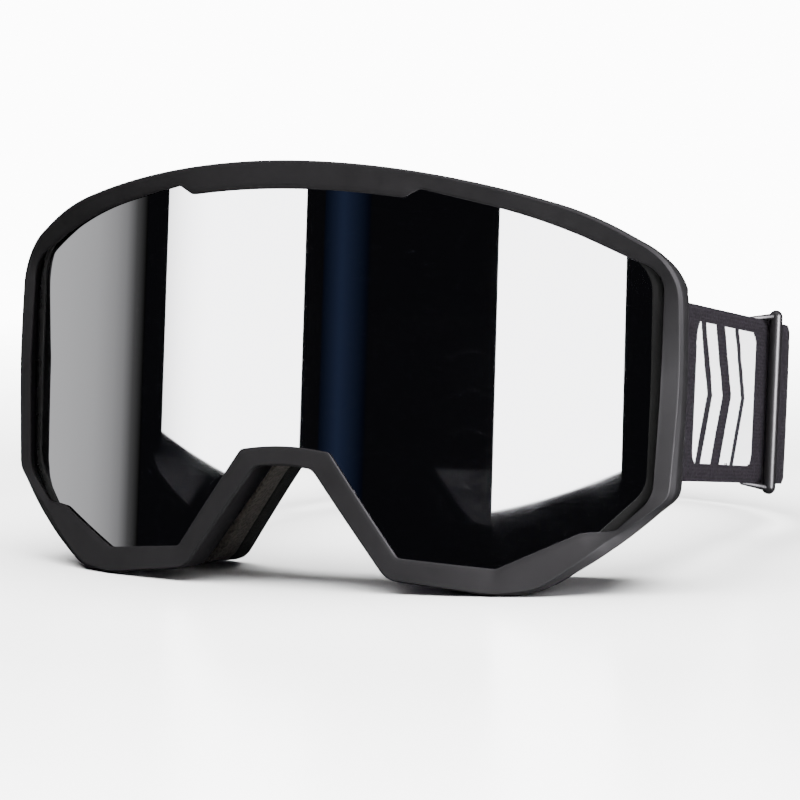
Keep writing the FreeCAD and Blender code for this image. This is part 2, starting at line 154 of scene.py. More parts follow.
# ---- from the upright frame to the row frame
def tilted(points, angle):
    """Points turned about the X axis so that +Z leans towards +Y."""
    p = np.asarray(points, float).reshape(-1, 3)
    c, s = math.cos(angle), math.sin(angle)
    return np.column_stack((p[:, 0], p[:, 1] * c + p[:, 2] * s, p[:, 2] * c - p[:, 1] * s))


pin_low, pin_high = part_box("strap_pin_left")
SHIFT = (np.array(pin_low) + np.array(pin_high)) / 2 - tilted([PIN], LEAN)[0] * MM


def upright(points):
    return tilted(points, LEAN) * MM + SHIFT


def strap_plan(s, off):
    """Upright x and y of a point s behind the pin and off to the outside of its line, on the +X side."""
    s, off = np.asarray(s, float), np.asarray(off, float)
    return (PIN[0] - math.sin(INWARD) * s + math.cos(INWARD) * off,
            PIN[1] + math.cos(INWARD) * s + math.sin(INWARD) * off)


def hung(points, side=1):
    """Row-frame points from the strap's own frame, whose z is measured from the pin's middle."""
    p = np.asarray(points, float).reshape(-1, 3) - (0, PIN[1], 0)
    p = tilted(p, DROOP) + (0, PIN[1], PIN[2])
    p[:, 0] *= side
    return upright(p)


def along_strap(points, side):
    """Row-frame points from (behind the pin, off to the outside, height) points."""
    p = np.asarray(points, float)
    return hung(np.column_stack((*strap_plan(p[:, 0], p[:, 1]), p[:, 2])), side)


def strap_direction(side=1):
    """Unit vector from the pin back along the strap, in the row frame."""
    ends = along_strap([(0, 0, 0), (1, 0, 0)], side)
    d = ends[1] - ends[0]
    return d / np.linalg.norm(d)


# ---- outlines
CHORD = 0.7  # length of one straight piece of an arc


def inset(half, gaps):
    """Each edge of a half outline moved inward by its own gap."""
    edges = []
    for (x0, z0, _), (x1, z1, _), gap in zip(half, half[1:], gaps):
        length = math.hypot(x1 - x0, z1 - z0)
        nx, nz = (z1 - z0) / length, -(x1 - x0) / length
        edges.append((x0 + nx * gap, z0 + nz * gap, x1 - x0, z1 - z0))
    on_axis = lambda e: e[1] - e[0] * e[3] / e[2]
    corners = [(0.0, on_axis(edges[0]), half[0][2])]
    for a, b, corner, gap in zip(edges, edges[1:], half[1:], gaps):
        cross = a[2] * b[3] - a[3] * b[2]
        t = ((b[0] - a[0]) * b[3] - (b[1] - a[1]) * b[2]) / cross
        radius = corner[2] - gap if cross < 0 else corner[2] + gap
        corners.append((a[0] + t * a[2], a[1] + t * a[3], max(radius, 0.6)))
    corners.append((0.0, on_axis(edges[-1]), half[-1][2]))
    return corners


class Outline:
    """A half outline with rounded corners, as points, lengths along it and its corners' lengths."""

    def __init__(self, half):
        spots = [Vector((x, z)) for x, z, _ in half]
        flip = lambda p: Vector((-p.x, p.y))
        loop = [flip(spots[1])] + spots + [flip(spots[-2])]
        runs = [b - a for a, b in zip(loop, loop[1:])]
        turns = [a.angle_signed(b) for a, b in zip(runs, runs[1:])]
        reach = [max(corner[2] * math.tan(abs(turn) / 2), 1e-3) for corner, turn in zip(half, turns)]
        wide = [reach[1]] + reach + [reach[-2]]
        share = [min(1, 0.98 * run.length / (a + b)) for run, a, b in zip(runs, wide, wide[1:])]
        points, marks = [], []
        last = len(half) - 1
        for i, spot in enumerate(spots):
            cut = reach[i] * min(share[i], share[i + 1])
            back, ahead = -runs[i].normalized(), runs[i + 1].normalized()
            radius = cut / math.tan(abs(turns[i]) / 2)
            middle = (back + ahead).normalized()
            centre = spot + middle * math.hypot(radius, cut)
            count = max(2, math.ceil(radius * abs(turns[i]) / CHORD / 2))
            start = spot + back * cut - centre
            for k in range(0 if i else count, (count if i == last else 2 * count) + 1):
                angle = -turns[i] * k / (2 * count)
                c, s = math.cos(angle), math.sin(angle)
                if k == count:
                    marks.append(len(points))
                points.append((centre.x + start.x * c - start.y * s, centre.y + start.x * s + start.y * c))
        self.points = np.array(points)
        self.points[[0, -1], 0] = 0
        steps = np.hypot(*np.diff(self.points, axis=0).T)
        self.along = np.concatenate(([0], np.cumsum(steps)))
        self.marks = self.along[marks]

    def mark(self, number):
        return np.interp(number, range(len(self.marks)), self.marks)

    def at(self, length):
        return np.column_stack([np.interp(length, self.along, self.points[:, i]) for i in (0, 1)])

    def loop(self):
        mirror = self.points[-2:0:-1] * (-1, 1)
        return np.vstack((self.points, mirror))


def stations(outlines, pairs, step):
    """Matched points round several outlines, and each one's place among the first outline's corners."""
    columns = [[] for _ in outlines]
    places = []
    for now, then in zip(pairs, pairs[1:]):
        spans = [(o.mark(a), o.mark(b)) for o, a, b in zip(outlines, now, then)]
        count = max(1, math.ceil(max(b - a for a, b in spans) / step))
        t = np.arange(count) / count
        for column, outline, (a, b) in zip(columns, outlines, spans):
            column.append(outline.at(a + (b - a) * t))
        places.append(now[0] + (then[0] - now[0]) * t)
    for column, outline in zip(columns, outlines):
        column.append(outline.points[-1:])
    places.append([pairs[-1][0]])
    halves = [np.vstack(c) for c in columns]
    places = np.concatenate(places)
    full = [np.vstack((h, h[-2:0:-1] * (-1, 1))) for h in halves]
    return full, np.concatenate((places, places[-2:0:-1]))


def depth(surface, x):
    apex, radius = surface
    return apex + radius - np.sqrt(radius * radius - np.square(x))


def between(front, rear, x, share):
    """The depth at x, a share of the way from one surface to another."""
    return depth(front, x) + (depth(rear, x) - depth(front, x)) * share


def lens_surface(apex):
    return apex, LENS_AXIS - apex


lens_rear = LENS_APEX + LENS_THICKNESS
spacer_rear = lens_rear + SPACER_THICKNESS
stack_rear = spacer_rear + INNER_LENS_THICKNESS
outer_line, opening_line, mirror_line = Outline(OUTER), Outline(OPENING), Outline(MIRROR)
LENS = inset(OUTER, LENS_INSET)
lens_line = Outline(LENS)
foam_line, eye_line = Outline(FOAM), Outline(EYE)


# ---- meshes
def make_piece(name, verts, faces, body, material, replaced=(), sharp=40):
    """A closed mesh in the row frame that rides on a body, with its faces turned outwards."""
    mesh = bpy.data.meshes.new(name)
    mesh.from_pydata([tuple(v) for v in verts], [], faces)
    bm = bmesh.new()
    bm.from_mesh(mesh)
    bmesh.ops.recalc_face_normals(bm, faces=bm.faces)
    bm.to_mesh(mesh)
    bm.free()
    mesh.polygons.foreach_set("use_smooth", [True] * len(mesh.polygons))
    mesh.set_sharp_from_angle(angle=math.radians(sharp))
    mesh.materials.append(material)
    piece = bpy.data.objects.new(name, mesh)
    bpy.context.scene.collection.objects.link(piece)
    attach(piece, body)
    if replaced:
        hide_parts(*replaced)
    return piece


def skin(rings, closed):
    """Faces between rings of equal size: a closed loop of rings, or a run of them with capped ends."""
    rows, cols = len(rings), len(rings[0])
    faces = []
    for i in range(rows if closed else rows - 1):
        a, b = i * cols, (i + 1) % rows * cols
        faces += [(a + j, a + (j + 1) % cols, b + (j + 1) % cols, b + j) for j in range(cols)]
    if not closed:
        faces += [tuple(range(cols))[::-1], tuple(range((rows - 1) * cols, rows * cols))]
    return faces


def join(runs):
    """Points and faces of several capped runs of rings, as lists of one mesh."""
    verts, faces = [], []
    for rings in runs:
        base = len(verts)
        verts += [tuple(point) for ring in rings for point in ring]
        faces += [tuple(base + v for v in face) for face in skin(rings, False)]
    return verts, faces


def rounded_box(width, height, radii, steps=4, spacing=2.0):
    """Points round a rectangle from (0, 0) to (width, height), with a radius at each corner."""
    corners = [(0, 0, math.pi), (width, 0, 1.5 * math.pi), (width, height, 0), (0, height, 0.5 * math.pi)]
    points = []
    for (x, y, start), radius in zip(corners, radii):
        cx = x + radius if x == 0 else x - radius
        cy = y + radius if y == 0 else y - radius
        for k in range(steps + 1):
            a = start + k * math.pi / 2 / steps
            points.append((cx + radius * math.cos(a), cy + radius * math.sin(a)))
    filled = []
    for p, q in zip(points, points[1:] + points[:1]):
        gap = math.dist(p, q)
        count = max(1, math.ceil(gap / spacing))
        filled += [(p[0] + (q[0] - p[0]) * k / count, p[1] + (q[1] - p[1]) * k / count)
                   for k in range(count)]
    return np.array(filled)


def pad_ring(outer, inner, front, rear, radii, pairs=FOAM_PAIRS, width=PAD_WIDTH, step=2.2,
             spacing=1.6, steps=4):
    """Rings of a soft band between two outlines and two surfaces, with rounded edges."""
    (p_all, q_all), _ = stations([outer, inner], pairs, step)
    thick = rear[0] - front[0]
    unit = rounded_box(width, thick, radii, steps, spacing)
    rings = []
    for p, q in zip(p_all, q_all):
        plan = p + (q - p) * (unit[:, :1] / width)
        y = between(front, rear, plan[:, 0], unit[:, 1] / thick)
        rings.append(np.column_stack((plan[:, 0], y, plan[:, 1])))
    return rings


def lens_mesh(outline, front, thickness, step=2.2):
    """A curved pane between two cylinders: points, faces and the number of its front faces, which come
    first.
    """
    edge = outline.loop()[::2]
    xs = np.arange(-88, 88.1, step)
    zs = np.arange(-60, 60.1, step * 1.4)
    grid = np.array([(x, z) for x in xs for z in zs])
    keep = np.ones(len(grid), bool)
    inside = np.zeros(len(grid), bool)
    for (x0, z0), (x1, z1) in zip(edge, np.roll(edge, -1, 0)):
        crosses = (z0 > grid[:, 1]) != (z1 > grid[:, 1])
        if z1 != z0:
            inside ^= crosses & (grid[:, 0] < (x1 - x0) * (grid[:, 1] - z0) / (z1 - z0) + x0)
        keep &= np.hypot(grid[:, 0] - x0, grid[:, 1] - z0) > step * 0.45
    flat = np.vstack((edge, grid[keep & inside]))
    count = len(edge)
    rim = [(i, (i + 1) % count) for i in range(count)]
    out = geometry.delaunay_2d_cdt([Vector(p) for p in flat], rim, [list(range(count))], 1, 1e-4)
    spots, tris = np.array([tuple(v) for v in out[0]]), [tuple(f) for f in out[2]]
    size = len(spots)
    rear = (front[0] + thickness, front[1] - thickness)
    layers = [np.column_stack((spots[:, 0], depth(s, spots[:, 0]), spots[:, 1])) for s in (front, rear)]
    directed = {(f[k], f[(k + 1) % 3]) for f in tris for k in range(3)}
    border = [e for e in directed if e[::-1] not in directed]
    faces = tris + [tuple(v + size for v in f[::-1]) for f in tris]
    faces += [(b, a, a + size, b + size) for a, b in border]
    return np.vstack(layers), faces, len(tris)


def make_lens(name, outline, front, thickness, material, replaced, back_material=None):
    verts, faces, panes = lens_mesh(outline, front, thickness)
    piece = make_piece(name, upright(verts), faces, "goggles", material, replaced)
    mesh = piece.data
    axis = front[0] + front[1]
    away = tilted(verts * (1, 1, 0) - (0, axis, 0), LEAN)
    away /= np.linalg.norm(away, axis=1)[:, None]
    normals = []
    for polygon in mesh.polygons:
        for v in polygon.vertices:
            facing = np.dot(away[v], polygon.normal)
            normals.append(polygon.normal if len(polygon.vertices) == 4 else away[v] * np.sign(facing))
    if back_material:
        mesh.materials.append(back_material)
        for i, polygon in enumerate(mesh.polygons):
            polygon.material_index = int(i >= panes)
    mesh.normals_split_custom_set([tuple(n) for n in normals])


def lofted(name, rings, closed, material, replaced, sharp=40):
    """A piece of the goggles from rings of upright points."""
    return make_piece(name, upright(np.vstack(rings)), skin(rings, closed), "goggles", material,
                      replaced, sharp=sharp)


def settle(piece, pressure, cap, held, frames=14):
    """A short cloth simulation that swells the piece by cap at most, while the held points stay."""
    start = np.array([v.co for v in piece.data.vertices])
    group = piece.vertex_groups.new(name="held")
    group.add([int(i) for i in np.flatnonzero(held)], 1.0, "REPLACE")
    modifier = piece.modifiers.new("swell", "CLOTH")
    cloth = modifier.settings
    cloth.quality = 5
    cloth.mass = 0.3
    cloth.tension_stiffness = cloth.compression_stiffness = 18
    cloth.shear_stiffness = 8
    cloth.bending_stiffness = 1.5
    cloth.use_pressure = True
    cloth.uniform_pressure_force = pressure
    cloth.effector_weights.gravity = 0
    cloth.vertex_group_mass = "held"
    modifier.collision_settings.use_collision = False
    scene = bpy.context.scene
    modifier.point_cache.frame_start, modifier.point_cache.frame_end = 1, frames
    for number in range(1, frames + 1):
        scene.frame_set(number)
    swollen = piece.evaluated_get(bpy.context.evaluated_depsgraph_get()).data
    moved = np.array([v.co for v in swollen.vertices]) - start
    far = np.linalg.norm(moved, axis=1)[:, None]
    moved *= np.minimum(1, cap * MM / np.maximum(far, 1e-9))
    piece.modifiers.remove(modifier)
    piece.vertex_groups.remove(group)
    scene.frame_set(1)
    piece.data.vertices.foreach_set("co", (start + moved).astype(np.float32).ravel())
    piece.data.update()


# ---- materials
class Paint:
    """A Principled material with short ways to add nodes."""

    def __init__(self, name, **sockets):
        self.material = bpy.data.materials.new(name)
        self.material.use_nodes = True
        self.tree = self.material.node_tree
        self.shader = self.tree.nodes["Principled BSDF"]
        self.place = self.add("ShaderNodeTexCoord").outputs["Object"]
        for key, value in sockets.items():
            self.shader.inputs[key.replace("_", " ")].default_value = value

    def add(self, kind, inputs=None, **settings):
        node = self.tree.nodes.new(kind)
        for key, value in settings.items():
            setattr(node, key, value)
        for key, value in (inputs or {}).items():
            self.feed(node.inputs[key], value)
        return node

    def feed(self, socket, value):
        if isinstance(value, bpy.types.NodeSocket):
            self.tree.links.new(value, socket)
        else:
            socket.default_value = value

    def noise(self, scale, detail=3.0, vector=None, roughness=0.5):
        return self.add("ShaderNodeTexNoise", {"Vector": vector or self.place, "Scale": scale,
                                               "Detail": detail, "Roughness": roughness}).outputs["Fac"]

    def cells(self, scale):
        return self.add("ShaderNodeTexVoronoi", {"Vector": self.place, "Scale": scale}).outputs["Distance"]

    def ramp(self, value, low, high, to_low=0.0, to_high=1.0):
        return self.add("ShaderNodeMapRange", {"Value": value, "From Min": low, "From Max": high,
                                               "To Min": to_low, "To Max": to_high}).outputs["Result"]

    def math(self, operation, a, b=0.0):
        return self.add("ShaderNodeMath", {0: a, 1: b}, operation=operation).outputs[0]

    def mix(self, factor, a, b):
        return self.add("ShaderNodeMix", {"Factor": factor, 6: a, 7: b}, data_type="RGBA").outputs[2]

    def bump(self, height, distance, strength=1.0):
        node = self.add("ShaderNodeBump", {"Height": height, "Distance": distance * MM,
                                           "Strength": strength})
        self.feed(self.shader.inputs["Normal"], node.outputs["Normal"])

    def set(self, name, value):
        self.feed(self.shader.inputs[name], value)


def grey(value, warm=0.0):
    return (value * (1 + warm), value, value * (1 - warm), 1.0)


def charcoal(value):
    """A near-black with a little violet in it."""
    return (value * 1.04, value * 0.97, value * 1.08, 1.0)


def moulded_plastic(name, tone, rough_low, rough_high, grain=0.012, scale=2600, specular=0.2):
    paint = Paint(name, Specular_IOR_Level=specular)
    blotch = paint.noise(60, 4)
    paint.set("Base Color", paint.mix(blotch, charcoal(tone * 0.85), charcoal(tone * 1.2)))
    paint.set("Roughness", paint.ramp(paint.noise(240, 5), 0.3, 0.7, rough_low, rough_high))
    paint.bump(paint.noise(scale, 2), grain)
    return paint.material


def smooth_material(name, blotches, dark, light, smears, spread, rough, **sockets):
    """A smooth surface: one noise between two tones, and one between two roughnesses."""
    paint = Paint(name, **sockets)
    paint.set("Base Color", paint.mix(paint.noise(*blotches), dark, light))
    paint.set("Roughness", paint.ramp(paint.noise(*smears), *spread, *rough))
    return paint.material


def foam_material(name, tone, warm, scale, grain, contrast=0.6):
    paint = Paint(name, Roughness=0.95, Specular_IOR_Level=0.15)
    pores = paint.cells(scale)
    fine = paint.noise(scale * 2.3, 3)
    height = paint.math("ADD", pores, paint.math("MULTIPLY", fine, 0.7))
    paint.set("Base Color", paint.mix(paint.ramp(height, 0.25, 1.0), grey(tone * (1 - contrast), warm),
                                      grey(tone * (1 + contrast), warm)))
    paint.bump(height, grain)
    return paint.material


def fleece_material():
    paint = Paint("fleece", Roughness=1.0, Specular_IOR_Level=0.1, Sheen_Weight=0.04, Sheen_Roughness=0.45)
    nap = paint.noise(1500, 6, roughness=0.7)
    clumps = paint.noise(170, 3)
    paint.set("Base Color", paint.mix(paint.math("MULTIPLY", nap, clumps), grey(0.003, -0.02),
                                      grey(0.014, -0.02)))
    paint.bump(paint.math("ADD", nap, paint.math("MULTIPLY", clumps, 1.5)), 0.22)
    return paint.material


def steel():
    paint = Paint("pin_steel", Metallic=1.0)
    streaks = paint.add("ShaderNodeMapping", {"Vector": paint.place, "Scale": (1.0, 1.0, 0.03)}).outputs[0]
    paint.set("Base Color", paint.mix(paint.noise(300, 2, streaks), grey(0.42), grey(0.6)))
    paint.set("Roughness", paint.ramp(paint.noise(900, 2, streaks), 0.3, 0.7, 0.25, 0.4))
    return paint.material


PRINT_PITCH = 116.0  # repeat of the woven pattern along the strap
PRINT_START = 11.0
PRINT_LENGTH = 68.0
PRINT_HALF = 16.8


def knit(name, printed):
    """Elastic knit: fine courses across and ribs along, with a woven block pattern on the outer side."""
    paint = Paint(name, Roughness=0.95, Specular_IOR_Level=0.005, Sheen_Weight=0.008, Sheen_Roughness=0.5)
    calc = paint.math
    uv = paint.add("ShaderNodeUVMap", uv_map="strap").outputs["UV"]
    split = paint.add("ShaderNodeSeparateXYZ", {"Vector": uv})
    along, across = (calc("MULTIPLY", split.outputs[i], 100.0) for i in (0, 1))
    rib = calc("SINE", calc("MULTIPLY", across, 2 * math.pi / 0.9))
    course = calc("SINE", calc("ADD", calc("MULTIPLY", along, 2 * math.pi / 0.8),
                               calc("MULTIPLY", rib, 0.8)))
    weave = calc("MULTIPLY", calc("ADD", rib, 1.0), calc("ADD", course, 1.0))
    speckle = paint.noise(1800, 3)
    yarn = paint.mix(paint.ramp(calc("ADD", speckle, calc("MULTIPLY", weave, 0.03)), 0.35, 0.9),
                     (0.003, 0.0024, 0.0034, 1), (0.019, 0.0155, 0.021, 1))
    if printed:
        mark = woven_pattern(paint, along, across)
        white = paint.mix(speckle, (0.84, 0.84, 0.87, 1), (0.95, 0.95, 0.97, 1))
        yarn = paint.mix(mark, yarn, white)
    paint.set("Base Color", yarn)
    paint.bump(calc("ADD", calc("MULTIPLY", weave, 0.15), speckle), 0.09)
    return paint.material


def woven_pattern(paint, along, across):
    """Blocks with slanted bars, 1 inside the white parts, stepped to the knit's stitches."""
    calc = paint.math
    stitch = 0.45
    snap = lambda v: calc("MULTIPLY", calc("FLOOR", calc("DIVIDE", v, stitch)), stitch)
    rough = calc("MULTIPLY", calc("SUBTRACT", paint.noise(260, 2), 0.5), 1.1)
    s = calc("ADD", snap(along), rough)
    w = calc("ADD", snap(across), rough)
    cycle = calc("SUBTRACT", s, PRINT_START)
    lap = calc("FLOOR", calc("DIVIDE", cycle, PRINT_PITCH))
    local = calc("SUBTRACT", calc("SUBTRACT", cycle, calc("MULTIPLY", lap, PRINT_PITCH)), PRINT_LENGTH / 2)
    # a block with rounded corners, as a distance
    corner = 4.0
    past = lambda v, half: calc("MAXIMUM", calc("SUBTRACT", calc("ABSOLUTE", v), half - corner), 0.0)
    square = lambda v: calc("MULTIPLY", v, v)
    far = calc("SQRT", calc("ADD", square(past(local, PRINT_LENGTH / 2)), square(past(w, PRINT_HALF))))
    block = calc("LESS_THAN", far, corner)
    slant = calc("ADD", local, calc("MULTIPLY", calc("ABSOLUTE", w), 0.62))
    bars = None
    for centre, half_width in ((-17.0, 3.0), (2.0, 5.0), (21.0, 2.2)):
        bar = calc("LESS_THAN", calc("ABSOLUTE", calc("SUBTRACT", slant, centre)), half_width)
        bars = bar if bars is None else calc("MAXIMUM", bars, bar)
    white = calc("MULTIPLY", block, calc("SUBTRACT", 1.0, bars))
    outside = paint.add("ShaderNodeAttribute", attribute_name="outer_side").outputs["Fac"]
    return calc("MULTIPLY", white, calc("GREATER_THAN", outside, 0.5))


def thread_material():
    paint = Paint("thread", Roughness=0.7, Specular_IOR_Level=0.3, Sheen_Weight=0.2)
    twist = paint.noise(2500, 2)
    paint.set("Base Color", paint.mix(twist, grey(0.015), grey(0.05)))
    paint.bump(twist, 0.05)
    return paint.material


frame_plastic = moulded_plastic("frame_plastic", 0.004, 0.52, 0.6, specular=0.11)
inner_plastic = moulded_plastic("inner_plastic", 0.006, 0.5, 0.62, grain=0.02, scale=1800)
slider_plastic = moulded_plastic("slider_plastic", 0.006, 0.3, 0.36, grain=0.004, specular=0.14)
# painted shade: a darker, rougher plastic for the frame's recess under the lip
recess_painted_shade = moulded_plastic("frame_recess_painted_shade", 0.003, 0.6, 0.7)
rim_gloss = smooth_material("rim_gloss", (90,), grey(0.004), grey(0.009), (160, 5), (0.35, 0.7),
                            (0.25, 0.35), Specular_IOR_Level=0.015)
# a silver coat that lets a little light through
mirror_lens = smooth_material("mirror_lens", (25, 2), (0.83, 0.83, 0.86, 1), (0.86, 0.86, 0.88, 1),
                              (90, 4), (0.35, 0.75), (0.012, 0.02), Metallic=0.983,
                              Transmission_Weight=1.0, IOR=1.05)
clear_pane = smooth_material("clear_lens", (40,), (0.28, 0.3, 0.33, 1), (0.33, 0.35, 0.38, 1), (150, 6),
                             (0.4, 0.8), (0.03, 0.09), Alpha=0.3, Specular_IOR_Level=0.55, IOR=1.49)
spacer_foam = foam_material("spacer_foam", 0.012, 0.0, 1600, 0.1)
vent_foam = foam_material("vent_foam", 0.03, 0.06, 900, 0.35, 0.8)
open_cell_foam = foam_material("open_cell_foam", 0.012, 0.15, 1300, 0.25, 0.85)
soft_foam = foam_material("soft_foam", 0.003, 0.0, 1900, 0.12, 0.5)
fleece = fleece_material()
grip_silicone = smooth_material("grip_silicone", (200,), grey(0.02), grey(0.04), (500,), (0.3, 0.7),
                                (0.25, 0.4), Specular_IOR_Level=0.5, IOR=1.42)
pin_steel, thread = steel(), thread_material()
strap_knit, plain_knit = knit("strap_knit", True), knit("strap_knit_plain", False)


# ---- frame, rim and lenses
def taper_limit(y):
    """The largest x that the tapering sides leave at a depth y."""
    return SIDE_TAPER_FROM[0] - np.maximum(y - SIDE_TAPER_FROM[1], 0) * math.tan(SIDE_TAPER)


def frame_section(p, lens, q, place):
    """The frame's cross-section at one station: outer edge p, lens edge, and opening edge q."""
    width = np.linalg.norm(p - q)
    out = (p - q) / width
    columns = zip(*EDGE)
    bevel, deep, straight, behind, sunk = (np.interp(place, range(len(EDGE)), c) for c in columns)
    outside = lambda plan: float(depth(FRAME_FRONT, plan[0]))
    under = lambda plan: float(depth(lens_surface(RIM_FRONT - LIP_GAP), plan[0]))
    drop = sunk * (under(q) - LIP_EDGE - outside(q))
    front = lambda plan: outside(plan) + drop * max(1 - np.linalg.norm(plan - q) / width, 0)
    crest = p - out * bevel
    rear = float(depth(FRAME_REAR, p[0]))
    # the lip's rounded edge, then the face
    points = [(q, front(q) + LIP_EDGE), (q + out * 0.05, front(q) + 0.2), (q + out * 0.18, front(q) + 0.05)]
    face = [q + out * 0.36] + [q + (crest - q) * t for t in FACE_STEPS]
    face += [crest - out * 0.3, crest - out * 0.1]
    points += [(spot, front(spot)) for spot in face]
    # the bevel, then the wall that turns in towards the rear
    fall = front(p) + deep - front(crest)
    points += [(crest + out * bevel * t, front(crest) + fall * t) for t in BEVEL_STEPS]
    turn = front(p) + straight
    points += [(p - out * behind * t, turn + (rear - turn) * t) for t in WALL_STEPS]
    # the rear, the pocket round the lens and the rim, and the lip's thin undercut
    pocket = lens + out * CLEAR
    foot = q + out * min(LIP_UNDERCUT, 0.7 * np.linalg.norm(lens - q))
    points += [(p - out * (behind + 0.25), rear), (pocket + out * 0.2, rear), (pocket, rear - 0.2),
               (pocket, under(pocket)), (lens, under(lens)),
               (foot, max(under(foot), front(foot) + LIP_EDGE / 2))]
    section = np.array([(x, y, z) for (x, z), y in points])
    limit = taper_limit(section[:, 1])
    section[:, 0] = np.clip(section[:, 0], -limit, limit)
    return section


def make_outer_frame():
    (ps, ls, qs), places = stations([outer_line, lens_line, opening_line],
                                    [(a, a, b) for a, b in FRAME_PAIRS], 0.8)
    rings = [frame_section(*station) for station in zip(ps, ls, qs, places)]
    verts = np.array(upright(np.vstack(rings)))
    verts[:, 2] = np.maximum(verts[:, 2], 0)  # it stands on the floor
    shell = make_piece("frame_shell", verts, skin(rings, True), "goggles", frame_plastic,
                       ["outer_frame"], sharp=28)
    # skin() makes the faces section by section: the last three of each are the lip's undercut, which get a
    # darker, rougher plastic as painted shade in the recess
    shell.data.materials.append(recess_painted_shade)
    columns = len(rings[0])
    for polygon in shell.data.polygons:
        polygon.material_index = int(polygon.index % columns >= columns - 3)


def make_rim():
    edge = Outline(inset(LENS, [RIM_INSET] * 10))
    (ps, qs), _ = stations([edge, mirror_line], MIRROR_PAIRS, 1.0)
    rings = []
    for p, q in zip(ps, qs):
        out = (p - q) / np.linalg.norm(p - q)
        front, rear = lens_surface(RIM_FRONT), lens_surface(MIRROR_FRONT)
        plan = [(p, 0), (p - out * 0.2, 1), (p + (q - p) * 0.5, 1), (q + out * 0.5, 1),
                (q + out * 0.2, 0.85), (q + out * 0.04, 0.45), (q, 0)]
        xs = np.array([point[0] for point, _ in plan])
        y = between(rear, front, xs, np.array([up for _, up in plan]))
        rings.append(np.column_stack((xs, y, [point[1] for point, _ in plan])))
    lofted("lens_edge_band", rings, True, rim_gloss, ["lens_rim"])


make_outer_frame()
make_rim()
make_lens("mirror_pane", lens_line, lens_surface(MIRROR_FRONT), LENS_THICKNESS,
          mirror_lens, ["outer_lens"], clear_pane)
make_lens("inner_pane", Outline(inset(LENS, [INNER_LENS_INSET] * 10)), lens_surface(spacer_rear),
          INNER_LENS_THICKNESS, clear_pane, ["inner_lens"])


# ---- foams
def make_pad(name, rings, material, replaced, swell=None):
    """A soft ring. swell is the simulation's pressure and cap, and which points of a ring are held."""
    piece = lofted(name, rings, True, material, replaced, sharp=75)
    if swell:
        pressure, cap, held = swell
        settle(piece, pressure, cap, np.tile(held, len(rings)))


def near_front(front, rear, radii, spacing, reach):
    """Which points of a pad's cross-section lie within reach of its front."""
    return rounded_box(PAD_WIDTH, rear[0] - front[0], radii, spacing=spacing)[:, 1] < reach


spacer_edges = [Outline(inset(LENS, [gap] * 10)) for gap in SPACER_INSET]
spacer_rings = pad_ring(*spacer_edges, lens_surface(lens_rear), lens_surface(spacer_rear), [0.5] * 4,
                        [(i, i) for i in range(11)], SPACER_INSET[1] - SPACER_INSET[0], 2.0, 2.0, 2)
make_pad("spacer_pad", spacer_rings, spacer_foam, ["lens_spacer_foam"])
base_rings = pad_ring(foam_line, eye_line, BODY_REAR, BASE_REAR, BASE_EDGES)
make_pad("grainy_foam", base_rings, open_cell_foam, ["face_foam_base"])
soft_rings = pad_ring(foam_line, eye_line, BASE_REAR, SOFT_REAR, SOFT_EDGES)
make_pad("soft_foam_ring", soft_rings, soft_foam, ["face_foam_soft"],
         (3.0, 0.8, near_front(BASE_REAR, SOFT_REAR, SOFT_EDGES, 1.6, 1.5)))
fleece_rings = pad_ring(Outline(inset(FOAM, [FLEECE_INSET] * 9)), Outline(inset(EYE, [-FLEECE_INSET] * 7)),
                        SOFT_REAR, FLEECE_REAR, FLEECE_EDGES, spacing=FLEECE_SPACING)
make_pad("fleece_ring", fleece_rings, fleece, ["face_fleece"],
         (2.0, 0.7, near_front(SOFT_REAR, FLEECE_REAR, FLEECE_EDGES, FLEECE_SPACING, 0.3)))


def vent_strip(name, node, chosen):
    """A strip of thin foam in the body's channel, along the stations that chosen() picks."""
    outer = Outline(inset(BODY, [BODY_WALL + BOND] * 9))
    inner = Outline(inset(BODY, [BODY_WALL + BOND + VENT_FOAM] * 9))
    (ps, qs), _ = stations([outer, inner], [(i, i) for i in range(10)], 2.0)
    front = lens_surface(stack_rear + CLEAR + BODY_FLANGE)
    rear = (BODY_REAR[0] - BODY_FLANGE - 0.2, BODY_REAR[1])
    unit = rounded_box(1.0, 1.0, [0.08] * 4, 2, 0.2)
    picked = [i for i in range(len(ps)) if chosen(*ps[i])]
    gap = next((k for k in range(1, len(picked)) if picked[k] != picked[k - 1] + 1), 0)
    rings = []
    for i in picked[gap:] + picked[:gap]:
        plan = ps[i] + (qs[i] - ps[i]) * unit[:, :1]
        y = between(front, rear, plan[:, 0], unit[:, 1])
        rings.append(np.column_stack((plan[:, 0], y, plan[:, 1])))
    piece = lofted(name, rings, False, vent_foam, [node], sharp=60)


vent_strip("top_vent_strip", "top_vent_foam", lambda x, z: z > 20 and abs(x) < 62)
for label, side in SIDES:
    vent_strip("bottom_vent_strip_" + label, "bottom_vent_foam_" + label,
               lambda x, z: z < -38 and 28 < x * side < 60)


# ---- strap
def back_circle(off):
    """Centre y and radius of the strap's back curve, in plan."""
    x, y = strap_plan(STRAP_STRAIGHT, off)
    return float(y - x * math.tan(INWARD)), float(x / math.cos(INWARD))


